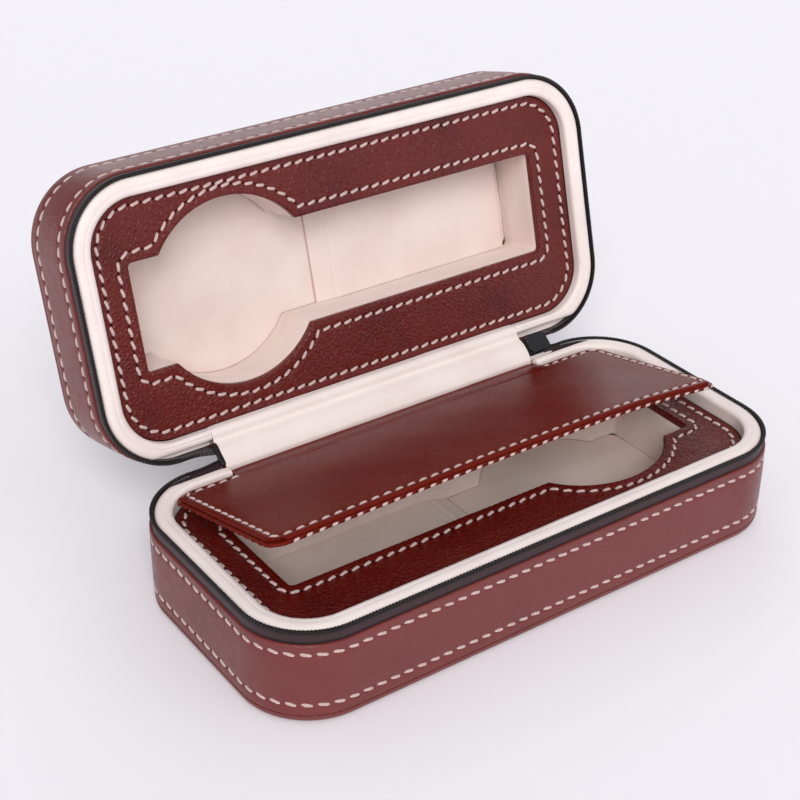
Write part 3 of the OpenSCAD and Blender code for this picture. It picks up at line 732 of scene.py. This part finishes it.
def padded_lip(half):
    """Soft ivory roll round the rim, creased along its middle and sunk at both ends."""
    s = ring(1.5, HINGE_X1 + 0.1, RING_L + HINGE_X0 - 0.1)
    out = np.where(s < RING_L/2, lip_room(s, SLIDER_ROOM), lip_room(s, STOP_ROOM))
    t = np.unique(np.r_[(1 - np.cos(np.linspace(0, math.pi, 17)))/2,
                        0.34, 0.38, 0.42, 0.46, 0.5])
    roundness, crest, fall, crease_at = 2.5, -0.25, 1.6, 0.42
    arch = (1 - np.abs(2*t - 1)**roundness)**(1/roundness)
    sunk = 0.45*np.clip(1 - np.minimum(s - s[0], s[-1] - s)/4, 0, 1)[:, None]**2
    top = crest - fall*(1 - arch) + groove(t - crease_at, 0.14, 0.07) - sunk
    u = LIP_IN + t[None, :]*(out - LIP_IN)[:, None]
    bend = np.abs(np.gradient(ring_at(s)[1], axis=0)).max(1)
    wrinkle = 0.07*np.sin(s*2.3 + 1.5*np.sin(s*0.7))*np.clip(bend*12, 0, 1)
    z = top + (swell(s[:, None], 30*t[None, :], 0.05) + wrinkle[:, None]*(1 - t))*arch
    low = np.full((len(s), 1), -half.drop)
    ledge = low + 0.25
    outer = np.full((len(s), 1), LIP_OUT)
    u = np.concatenate([np.full((len(s), 1), LIP_IN), u, out[:, None] - 0.02, outer, outer], 1)
    z = np.concatenate([low, z, ledge, ledge, low], 1)
    ob = swept(half.name + "_padded_lip", on_ring(s, np.stack([u, z], -1)), half.place)
    half.add(ob, IVORY, "lip_leather", "lip")


def insert_panel(half):
    """Leather panel with its opening, edges turned down and two sewn rows."""
    point, normal = ring_at(ring(2.0))
    steps = [0, 0.12, 0.3, 0.6, 1.3, 2.1, 2.5, 2.75, 3.0, 3.25, 3.5, 3.9, 4.6]
    loops = [point + normal*(INSERT_OUT - d) for d in steps]
    holes = [keyhole(d + (WELL_ROW - OUTER_ROW if d > 2 else 0), half.turn) for d in steps]
    edge_r = 0.6

    def edge(p):
        return -box_distance(p, -CASE_L/2 - INSERT_OUT, CASE_L/2 + INSERT_OUT,
                             -CASE_W/2 - INSERT_OUT, CASE_W/2 + INSERT_OUT, CORNER + INSERT_OUT)

    def inside(p):
        return np.minimum(edge(p), keyhole_distance(p, half.turn))

    def height(p):
        d, k = edge(p), keyhole_distance(p, half.turn)
        pad = 0.12*np.clip(np.minimum(d, k) - 0.5, 0, 1)
        return (-half.drop + rounded(d, edge_r) + rounded(k, edge_r)
                + groove(d - OUTER_ROW, *SEWN_GROOVE) + groove(k - WELL_ROW, *SEWN_GROOVE)
                - pad + swell(*p.T, 0.05))

    ob = panel(half.name + "_insert_panel", loops, holes, inside, height, half.panel_low,
               half.place)
    half.add(ob, INSERT, "insert_leather", "insert_leather", "insert_board")
    for tag, row in (("rim", point + normal*(INSERT_OUT - OUTER_ROW)),
                     ("well", keyhole(WELL_ROW, half.turn))):
        sew(f"{half.name}_{tag}_stitches", raised(row, -half.drop - INSERT_SEAT),
            np.tile(UP, (len(row), 1)), half.place, INSERT_STITCH, half.name,
            flip=half.turn)


def well_wall(half):
    """Velvet wall of the well, from the panel to the floor and up again behind."""
    top, floor = half.panel_low, half.floor
    profile = [(0.4, top + 0.05), (0.12, top - 0.5), (0.02, top - 2.5), (0.0, (top + floor)/2),
               (0.0, floor + 1.0), (0.03, floor - 0.2), (0.75, floor - 0.2), (0.75, top + 0.05)]
    rows = np.stack([raised(keyhole(w, half.turn), z) for w, z in profile], 1)
    ob = swept(half.name + "_well_velvet", rows, half.place, wrap=True)
    half.add(ob, VELVET, "velvet", "well_lining", "foam_core")


def well_floor(half):
    """Velvet-covered card on the well's floor."""
    steps = [0.02, 0.17, 0.4, 0.8, 1.6, 3.2]
    loops = [keyhole(-d, half.turn, inner_r=4.0) for d in steps]
    sunk = 0.1

    def inside(p):
        return -keyhole_distance(p, half.turn) - steps[0]

    def height(p):
        return half.floor + rounded(inside(p), 0.22) + swell(*p.T, 0.06) - sunk

    ob = panel(half.name + "_well_floor", loops, [], inside, height,
               half.floor - CARD_T + sunk, half.place)
    half.add(ob, CARD, "velvet_card", "floor_card")


def strap_cushion(half):
    """Cushion that ramps down to the head's floor, and a darker velvet strip at its foot, painted
    shade where the cushion meets the floor.
    """
    floor = half.floor
    foot = HEAD_X - HEAD_R - RAMP_START
    last = foot + LONG_END - PAD_GAP
    ramp = last - RAMP_LEN
    x = np.r_[np.linspace(0, 1.6, 7), np.linspace(4, ramp - 1, 24),
              ramp - 0.5, ramp, ramp + 0.5, np.linspace(ramp + 1, last, 9)]
    x = x - LONG_END + PAD_GAP
    half_w = STRAP_HALF - 0.02
    y = half_w*np.sin(np.linspace(-math.pi/2, math.pi/2, 33))
    gx, gy = np.meshgrid(x, y, indexing="ij")
    lift = HEAD_STEP*np.clip((foot - gx)/RAMP_LEN, 0, 1)
    sides, end = rounded(half_w - np.abs(gy), 0.5), rounded(gx - x[0], 1.5)
    z = (floor + lift*(1 + (sides + end)/HEAD_STEP) + 0.06
         + swell(gx, gy*2, 0.05)*lift/HEAD_STEP + groove(gx - foot + RAMP_LEN, 0.5, 0.5))
    z = np.maximum(z, floor + 0.02)
    top = np.stack([gx, gy + WELL_OFF, z], -1)
    under = np.stack([gx, gy + WELL_OFF, np.full_like(z, floor - 0.05)], -1)
    flipped = [half.turn, half.turn, 1]
    ob = swept(half.name + "_strap_cushion",
               np.concatenate([top, under[:, ::-1]], 1)*flipped, half.place)
    half.add(ob, VELVET, "velvet", "strap_pad")

    # a thin darker velvet strip across the ramp's foot, painted shade of the crease there
    n = 40
    y = np.linspace(-half_w, half_w, n)
    path = np.c_[np.full(n, x[-1] + 0.1), y + WELL_OFF, np.full(n, floor)]*flipped
    ob = build(half.name + "_cushion_foot_shade",
               *tube(path, np.tile([1.0, 0, 0], (n, 1)), 0.42, 0.16), half.place)
    half.add(ob, FOOT_SHADE, "velvet")


# ---------------- hinge
def bend_with_lid(ob, reach):
    """Bakes the piece's placement into its mesh; the ends at reach to each side of the fold line
    are worked out, but the piece does not bend with the lid.
    """
    ends = section(on_bridge, (0, -reach), (0, reach))*MM
    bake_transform(ob)


def strip(name, path, thick, x0, x1, step=3.0, spans=6, taper=0.0):
    """A strip along X whose section is a curve through path; taper thins its start."""
    c = smooth_curve(np.vstack(path), spans)[:, 1:]
    thin = np.clip(0.08 + run_along(c)/taper, 0, 1)[:, None] if taper else 1.0
    along = unit(np.gradient(c, axis=0))
    side = np.stack([-along[:, 1], along[:, 0]], -1)
    x = np.linspace(x0, x1, int((x1 - x0)/step) + 2)
    half_t = thick/2*(1 + rounded(np.minimum(x - x0, x1 - x), 0.5)/0.8)
    rows = []
    for xi, h in zip(x, half_t):
        ripple = swell(np.full(len(c), xi), c[:, 0]*4, 0.04)[:, None]
        front, back = c + side*(h + ripple)*thin, c - side*h*thin
        loop = np.vstack([front, back[::-1]])
        rows.append(np.c_[np.full(len(loop), xi), loop])
    return swept(name, np.stack(rows), sharp=50)


def hinge_lining():
    """Ivory lining from lip to lip across the inside of the hinge."""
    path = (section(in_base, (44.1, -5.2), (44.1, -2.2), (44.45, -1.0)),
            section(on_bridge, (-3.5, -1.6), (-3.42, 1.4)),
            section(in_lid, (44.3, -0.5), (41.9, -0.65), (40.6, -1.6), (40.12, -3.9)))
    ob = strip("hinge_lining_sheet", path, 0.7, HINGE_X0, HINGE_X1)
    piece(ob, IVORY,
          replaces=("hinge_bridge", "base_hinge_lining", "lid_hinge_lining"))
    bend_with_lid(ob, LINING_BEND)


def hinge_leather():
    """Outer leather from side to side across the back of the hinge."""
    path = (section(in_base, (47.36, -5.3), (47.36, -3.0), (47.75, -1.7), (48.8, -1.0)),
            section(on_bridge, (0.75, -0.25), (0.8, 0.25)),
            section(in_lid, (48.8, -0.2), (47.75, -0.7), (47.36, -1.8), (47.36, -5.3)))
    ob = strip("hinge_leather", path, 0.85, HINGE_X0, HINGE_X1)
    piece(ob, OUTER, replaces=("base_spine", "lid_spine"))
    bend_with_lid(ob, LEATHER_BEND)


# ---------------- zip's ends
def parting_tape(name, side_x, meet_x, apart):
    """Both tapes and coils, from the corner to the place where they meet."""
    tapes, cords, uvs = [], [], []
    t = np.linspace(0, 1, 12)
    x = side_x + t*(meet_x - side_x)
    share = (t**5*(6 - 5*t))[:, None]
    back, sewn_z = raised(x[:, None], CASE_W/2), -6.4
    meet = section(on_bridge, (-BRIDGE_MID, 0))[0]
    inward = unit(meet - [0, FOLD_Y, FOLD_Z])
    for place, across in zip((in_base, in_lid), apart):
        sewn, loose = place(raised(back, sewn_z)), place(raised(back, COIL_Z))
        edge = section(on_bridge, (-BRIDGE_MID, across))[0]
        joined = np.c_[x, np.tile(edge[1:], (len(x), 1))]
        loose = loose*(1 - share) + joined*share
        t = np.linspace(0, 1, 7)[None, :, None]
        face = sewn[:, None]*(1 - t) + loose[:, None]*t
        rear = face + inward*TAPE_T*0.9
        rows = np.concatenate([face, rear[:, ::-1]], 1)
        height = sewn_z + TAPE_W*t[..., 0]
        height = np.concatenate([height, height[:, ::-1]], 1)
        uvs.append(np.stack(np.broadcast_arrays(x[:, None], height), -1))
        tapes.append(rod(rows))
        frames = loose, unit(loose - sewn), np.tile(inward, (len(x), 1))

        def route(t, frames=frames):
            return [read_off(rows, np.arange(len(x)), t*(len(x) - 1)) for rows in frames]
        cords.append(coil(route, abs(meet_x - side_x)*1.1))
    tape = build(name + "_tapes", *merge(*tapes), uv=np.concatenate(uvs))
    cord = build(name + "_coils", *merge(*cords))
    for ob, material, slot in ((tape, TAPE, "zip_tape"), (cord, COIL, "zip_coil")):
        piece(ob, material)
        bend_with_lid(ob, LEATHER_BEND)


def slider_web():
    """Strip of lining under the slider, between the lip's end and the corner."""
    path = (section(in_base, (45.7, -5.2), (45.6, -4.6)),
            section(on_bridge, (-3.6, -4.9), (-3.3, -4.4)))
    ob = strip("slider_web", path, 0.4, HINGE_X1 + 0.1, SLIDER_X + SLIDER_LEN/2, step=1.0,
               spans=4)
    piece(ob, IVORY)
    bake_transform(ob)


def end_bar():
    """Sewn bar with round edges, across the zip's closed end."""
    x0, x1 = HINGE_X0 - 0.6*STOP_LEN, HINGE_X0 + 0.1
    half_y, half_z, centre_y, r = 0.75, STOP_W/2, 3.2, 0.7
    th = np.radians(np.arange(0, 360, 15))
    square = np.stack([np.sign(np.cos(th))*np.abs(np.cos(th))**0.5*half_y,
                       np.sign(np.sin(th))*np.abs(np.sin(th))**0.35*half_z], -1)
    rows = []
    for x in np.linspace(x0, x1, 13):
        k = 1 + rounded(min(x - x0, x1 - x), r)/r*0.35
        rows.append(np.c_[np.full(len(square), x), square[:, 0]*k - centre_y,
                          square[:, 1]*(0.6 + 0.4*k)])
    ob = swept("zip_end_bar", np.stack(rows), on_bridge)
    piece(ob, COIL, "hinge_web", ["zip_closed_end"])


def joined_zip():
    """The stretch next to the hinge where the slider has joined both tapes and coils."""
    start = HINGE_X1 + 0.1
    front, back = -BRIDGE_MID - 0.38, -BRIDGE_MID + 0.38
    gap = 0.3
    tapes, coils = [], []
    for sign in (-1, 1):
        inner, outer = 0.75*sign, 3.0*sign
        loop = [(front, inner), (front, outer), (back, outer), (back, inner)]
        rows = np.array([[(x, y, z) for y, z in loop]
                         for x in np.linspace(start, HINGE_X1 + JOINED_LEN, 10)])
        tapes.append(rod(rows))

        def route(t, sign=sign):
            n = len(t)
            x = HINGE_X1 + gap + t*(JOINED_LEN - gap)
            return (np.c_[x, np.full(n, -BRIDGE_MID), np.full(n, 0.55*sign)],
                    np.tile([0.0, 1.0, 0.0], (n, 1)), np.tile(UP, (n, 1)))
        coils.append(coil(route, JOINED_LEN - gap))
    ob = build("zip_joined_tapes", *merge(*tapes), on_bridge)
    piece(ob, TAPE, "hinge_web", ["zip_joined_tape"])
    ob = build("zip_joined_coils", *merge(*coils), on_bridge)
    piece(ob, COIL, "hinge_web", ["zip_joined_coil"])


# ---------------- flap
def flap_loop(inset, step=1.5):
    """The flap's outline with the same round corners, inset from its edge."""
    end, y0, y1 = FLAP_W/2 - inset, inset - FLAP_LEN, -FLAP_BACK - inset
    r = max(FLAP_R - inset, 0.4)
    x, a, b = end - r, y0 + r, y1 - r
    nx, ny = int(2*end/step), int((y1 - y0)/step)
    return np.concatenate([line(-x, y0, x, y0, nx), arc(x, a, r, -90, 0, 10),
                           line(end, a, end, b, ny), arc(x, b, r, 0, 90, 10),
                           line(x, y1, -x, y1, nx), arc(-x, b, r, 90, 180, 10),
                           line(-end, b, -end, a, ny), arc(-x, a, r, 180, 270, 10)])


def flap_layer(name, nodes, inset, low, top, row, edge_r, neck=0.0):
    """One leather layer of the flap, with a sewn row along its edge.

    Within the hinge, its back edge is rounded at the distance neck instead.
    """
    steps = [0, 0.1, 0.25, 0.5, 1.0, row - 0.5, row - 0.25, row, row + 0.25, row + 0.5, row + 1.2]
    loops = [flap_loop(inset + d) for d in sorted({s for s in steps if s >= 0})]
    box = inset - FLAP_W/2, FLAP_W/2 - inset, inset - FLAP_LEN

    def inside(p):
        return -box_distance(p, *box, -FLAP_BACK - inset, FLAP_R)

    def height(p):
        d = inside(p)
        at_neck = np.clip(np.minimum(p[:, 0] - HINGE_X0 - 1, HINGE_X1 - 1 - p[:, 0])/2, 0, 1)
        d = np.where(neck, d + (-box_distance(p, *box, neck, 1) - d)*at_neck, d)
        return (top + rounded(d, edge_r) + groove(d - row, *FLAP_GROOVE)
                + swell(*p.T, 0.04) - 0.08)

    piece(panel(name, loops, [], inside, height, low, in_flap), FLAP, "flap",
          nodes)


def flap_edge(inset, seat):
    """Path round the flap's free edge, with its outward direction."""
    loop = flap_loop(inset, 0.6)
    path = raised(loop, seat)
    hinge = ((path[:, 1] > -FLAP_BACK - inset - 0.2) & (path[:, 0] > HINGE_X0 + 2)
             & (path[:, 0] < HINGE_X1 - 2))
    first = int(np.flatnonzero(hinge)[-1]) + 1
    order = np.roll(np.arange(len(path)), -first)
    path = path[order][~hinge[order]]
    return path, np.cross(unit(np.gradient(path, axis=0)), UP)


def flap_stitches(name, inset, seat, tip, stitch, left=-FLAP_W):
    """Stitches right of left; tip leans them from the face (0) to the edge (1)."""
    path, outward = flap_edge(inset, seat)
    path, outward = path[path[:, 0] > left], outward[path[:, 0] > left]
    up = unit(outward*tip + np.array(UP)*(1 - tip))
    sew(name, path, up, in_flap, stitch, "flap", closed=False)


def flap_edge_roll():
    """The cover's edge, turned over the board and puffed up between the stitches."""
    path, outward = flap_edge(0.75, -0.12)
    run = run_along(path)
    puff = np.cos(math.pi*round(run[-1]/FLAP_STITCH["pitch"])*run/run[-1])**2
    ob = build("flap_edge_roll",
               *tube(path, outward, 0.4 + 0.55*puff, 0.5 + 0.12*puff, 10), in_flap)
    piece(ob, FLAP, "flap")


def flap_neck():
    """Soft leather from the flap's cover to the base's rim."""
    path = (section(in_flap, (-8.0, 1.42), (-5.0, 1.2), (-1.6, 1.0)),
            section(as_is, (42.4, 31.3), (43.3, 30.2), (43.3, 28.2)))
    ob = strip("flap_neck_leather", path, 0.8, HINGE_X0 + 0.1, HINGE_X1 - 0.1, taper=3.0)
    piece(ob, FLAP, replaces=["flap_hinge_strip"])
    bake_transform(ob)


# ---------------- floor, light, camera
def frame_nodes():
    """Finish of the CAD nodes that show as they are: the slider, its pull and the boards."""
    for name, ob in frame["nodes"].items():
        if ob.hide_render:
            continue
        metal = name in ("slider_body", "pull_tab")
        ob.data.materials.clear()
        ob.data.materials.append(METAL if metal else BOARD)
        if metal:
            bevel = ob.modifiers.new("soft_edges", "BEVEL")
            bevel.width, bevel.segments, bevel.limit_method = 0.18*MM, 2, "ANGLE"
            bevel.angle_limit = math.radians(40)
            ob.data.set_sharp_from_angle(angle=math.radians(40))


def floor():
    """A plain pale floor, just below the case."""
    me = bpy.data.meshes.new("floor")
    me.from_pydata([(-4, -4, 0), (4, -4, 0), (4, 4, 0), (-4, 4, 0)], [], [(0, 1, 2, 3)])
    ob = new_object("floor", me)
    ob.location.z = -0.2*MM
    n = Nodes("floor", Specular_IOR_Level=0.0, Base_Color=srgb(FLOOR), Roughness=1.0)
    me.materials.append(n.mat)


def lamp(name, azimuth, elevation, strength, angle, colour=(1.0, 1.0, 1.0)):
    """A soft sun; azimuth 0 shines from the front along +Y and 90 from the right."""
    data = bpy.data.lights.new(name, "SUN")
    data.energy, data.angle, data.color = strength, math.radians(angle), colour
    ob = new_object(name, data)
    ob.rotation_euler = (math.radians(90 - elevation), 0, math.radians(azimuth))


def world():
    """An even pale surround, dimmed low at the back left; the camera sees the backdrop."""
    studio = bpy.data.worlds.new("studio")
    bpy.context.scene.world = studio
    studio.use_nodes = True
    tree = Tree(studio.node_tree)
    way = tree.add("SeparateXYZ", {0: tree.add("TexCoord", {}).outputs["Generated"]})
    dark = 1.0
    for axis, lit_to, dark_from in DARK_SIDE:
        step = tree.add("MapRange", {"Value": way.outputs[axis], "From Min": lit_to,
                                     "From Max": dark_from}).outputs["Result"]
        dark = tree.add("Math", {0: step, 1: dark}, operation="MULTIPLY").outputs[0]
    sky = tree.add("Mix", {0: dark, 6: srgb(SKY), 7: srgb(DARK_SKY)}, data_type="RGBA")
    light = tree.add("Background", {"Color": sky.outputs[2], "Strength": SKY_STRENGTH})
    seen = tree.add("Background", {"Color": srgb(BACKDROP)})
    camera_ray = tree.add("LightPath", {}).outputs["Is Camera Ray"]
    share = tree.add("MixShader", {0: camera_ray, 1: light.outputs[0], 2: seen.outputs[0]})
    tree.link(share.outputs[0], tree.nodes["World Output"].inputs["Surface"])


def camera():
    """The photograph's point of view."""
    data = bpy.data.cameras.new("camera")
    data.lens, data.sensor_width = FOCAL_LENGTH, SENSOR_W
    data.clip_start, data.clip_end = 0.01, 20
    ob = new_object("camera", data)
    turn = Euler([math.radians(a) for a in CAMERA_TURN])
    ob.matrix_world = Matrix.LocRotScale(Vector(CAMERA_PLACE)*MM, turn, None)
    bpy.context.scene.camera = ob


# ---------------- the case and its studio
for half in (Half("base", in_base, BASE_H, BASE_DROP, 1, "bottom_leather"),
             Half("lid", in_lid, LID_H, LID_DROP, -1, "top_leather")):
    for sub_part in (side_band, outer_panel, zip_side, padded_lip, insert_panel, well_wall,
                     well_floor, strap_cushion):
        sub_part(half)

hinge_lining()
hinge_leather()
parting_tape("closed_end", -CORNER_X, HINGE_X0 - 0.9, apart=(-2.0, 0.7))
parting_tape("slider_end", CORNER_X, SLIDER_X + SLIDER_LEN/2 - 1.0, apart=(-1.7, 1.7))
slider_web()
end_bar()
joined_zip()

flap_layer("flap_backing_leather", ["flap_backing", "flap_board"], inset=0.6, low=-0.75,
           top=0.45, row=0.75, edge_r=0.4)
flap_layer("flap_cover_leather", ["flap_cover"], inset=FLAP_STEP, low=0.3, top=FLAP_FACE,
           row=FLAP_ROW, edge_r=0.55, neck=6.0)
flap_stitches("flap_cover_stitches", FLAP_STEP + FLAP_ROW, FLAP_FACE - 0.25, 0, FLAP_STITCH)
flap_stitches("flap_backing_stitches", 0.3, -0.1, 0.75, EDGE_STITCH, FLAP_R - FLAP_W/2)
flap_edge_roll()
flap_neck()
frame_nodes()

floor()
world()
lamp("key", azimuth=-33, elevation=39, strength=1.9, angle=30, colour=(1.0, 0.97, 0.94))
lamp("fill", azimuth=22, elevation=20, strength=0.3, angle=60)
lamp("rim", azimuth=150, elevation=20, strength=0.5, angle=44, colour=(0.97, 0.96, 1.0))
camera()
bpy.context.scene.view_settings.view_transform = "Standard"
